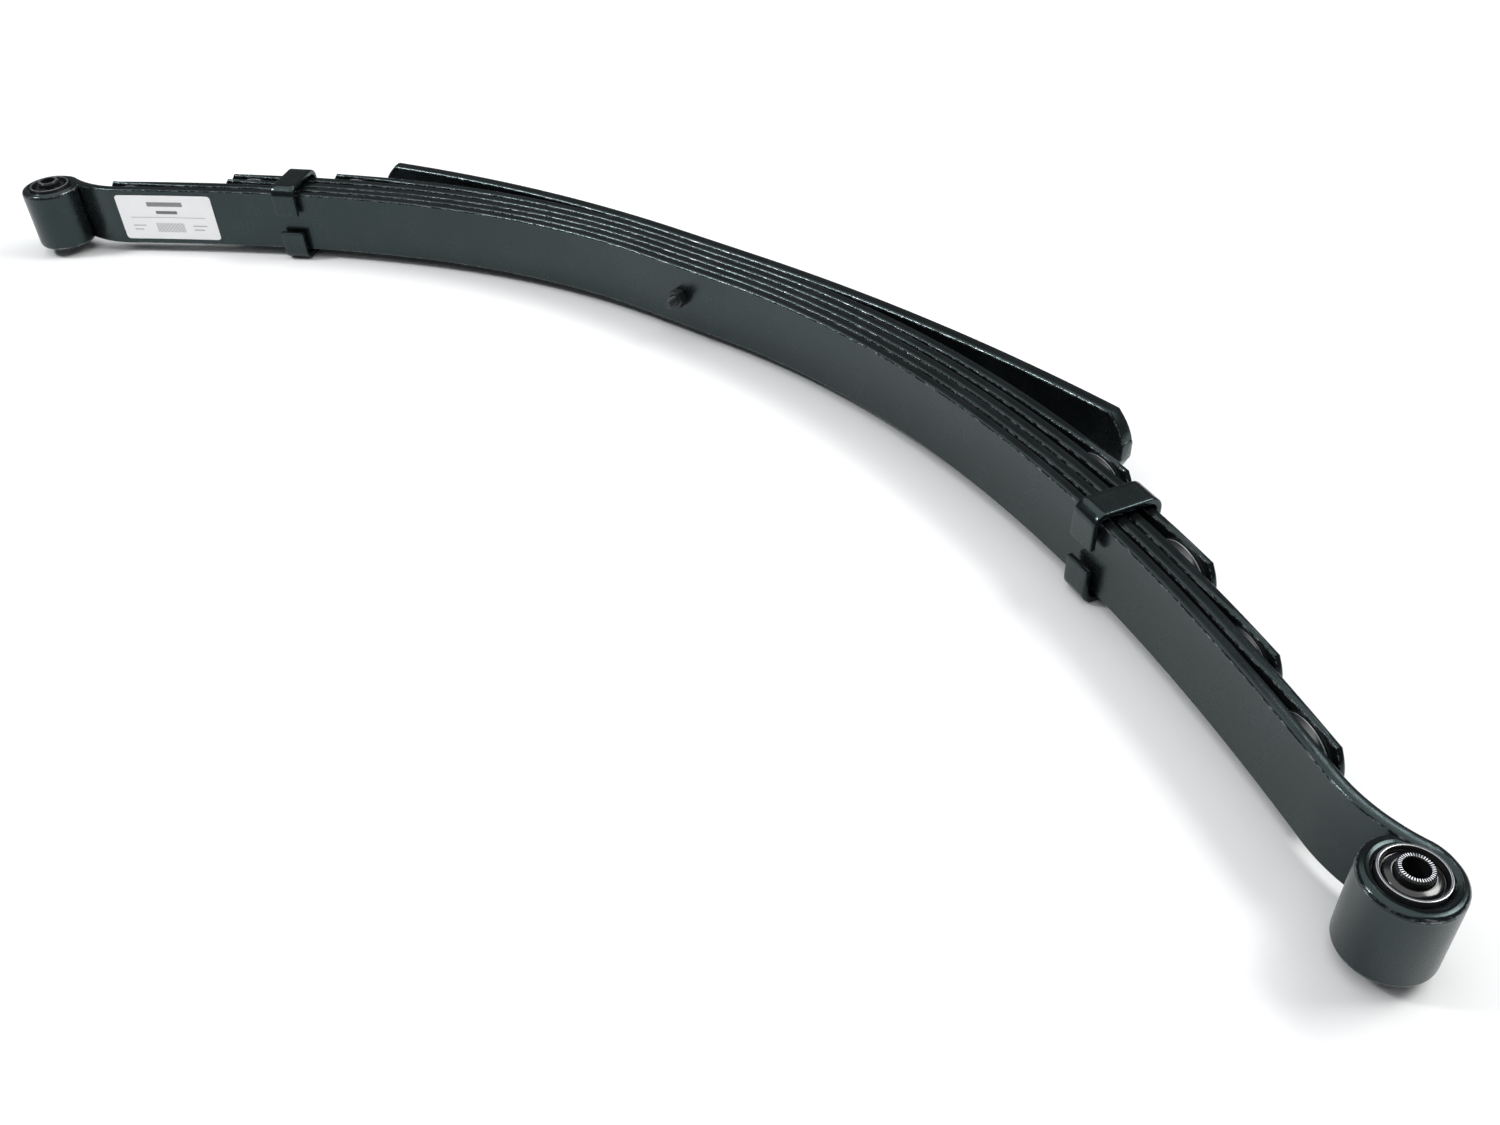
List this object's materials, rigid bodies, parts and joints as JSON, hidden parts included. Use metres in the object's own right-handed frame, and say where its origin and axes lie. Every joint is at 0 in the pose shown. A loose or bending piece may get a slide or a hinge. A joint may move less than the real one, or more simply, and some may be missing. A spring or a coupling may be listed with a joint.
{
  "type": "leaf spring",
  "caption": "Multi-leaf suspension spring with rolled eyes, rubber bushings, graduated leaves, a flat overload leaf, rebound clips and a centre bolt.",
  "frame": {"origin": "middle of the axle seat: on the overload leaf's convex face, on the centre bolt's axis, mid width", "axes": "+X along the seat from the front (short) arm to the rear (long) arm, +Y out of the convex side towards the axle, +Z across the leaves' width"},
  "size_m": [1.514, 0.4013, 0.082],
  "materials": {
    "black_paint": "satin black paint over scaled spring steel, worn bright along the long edges",
    "clip_paint": "satin black paint, rubbed thin on the bends",
    "bolt_paint": "satin black paint over threaded steel",
    "wear_pad": "dark plastic",
    "bushing_rubber": "satin black moulded rubber",
    "bare_steel": "dull steel with a thin dark coating",
    "label_film": "white label film with plain grey bars"
  },
  "bodies": {
    "pack": {"main_leaf": "black_paint", "second_leaf": "black_paint", "third_leaf": "black_paint", "fourth_leaf": "black_paint", "fifth_leaf": "black_paint", "overload_leaf": "black_paint", "center_bolt": "bolt_paint", "center_nut": "bolt_paint"},
    "front_arm": {"label": "label_film", "front_rebound_clip": "clip_paint", "front_clip_rivet": "clip_paint", "front_bushing_shell": "bare_steel", "front_bushing_rubber": "bushing_rubber", "second_leaf_front_pad": "wear_pad", "third_leaf_front_pad": "wear_pad", "fourth_leaf_front_pad": "wear_pad", "fifth_leaf_front_pad": "wear_pad"},
    "rear_arm": {"rear_rebound_clip": "clip_paint", "rear_clip_rivet": "clip_paint", "rear_bushing_shell": "bare_steel", "rear_bushing_rubber": "bushing_rubber", "second_leaf_rear_pad": "wear_pad", "third_leaf_rear_pad": "wear_pad", "fourth_leaf_rear_pad": "wear_pad", "fifth_leaf_rear_pad": "wear_pad"},
    "front_sleeve": {"front_bushing_sleeve": "bare_steel"},
    "rear_sleeve": {"rear_bushing_sleeve": "bare_steel"}
  },
  "joints": [
    {"name": "front_arm_flex", "type": "hinge", "parent": "pack", "child": "front_arm", "pos_m": [-0.28084, -0.07508, 0], "axis": [0, 0, -1], "range_deg": [-2, 13], "stiffness_Nm_per_rad": 6100, "deforming": ["main_leaf", "second_leaf", "third_leaf", "fourth_leaf", "fifth_leaf"]},
    {"name": "rear_arm_flex", "type": "hinge", "parent": "pack", "child": "rear_arm", "pos_m": [0.31531, -0.08088, 0], "axis": [0, 0, 1], "range_deg": [-2, 13], "stiffness_Nm_per_rad": 5300, "deforming": ["main_leaf", "second_leaf", "third_leaf", "fourth_leaf", "fifth_leaf"]},
    {"name": "front_sleeve_twist", "type": "hinge", "parent": "front_arm", "child": "front_sleeve", "pos_m": [-0.6858, -0.30491, 0], "axis": [0, 0, 1], "range_deg": [-20, 20], "stiffness_Nm_per_rad": 60},
    {"name": "rear_sleeve_twist", "type": "hinge", "parent": "rear_arm", "child": "rear_sleeve", "pos_m": [0.76965, -0.36316, 0], "axis": [0, 0, 1], "range_deg": [-20, 20], "stiffness_Nm_per_rad": 60}
  ]
}
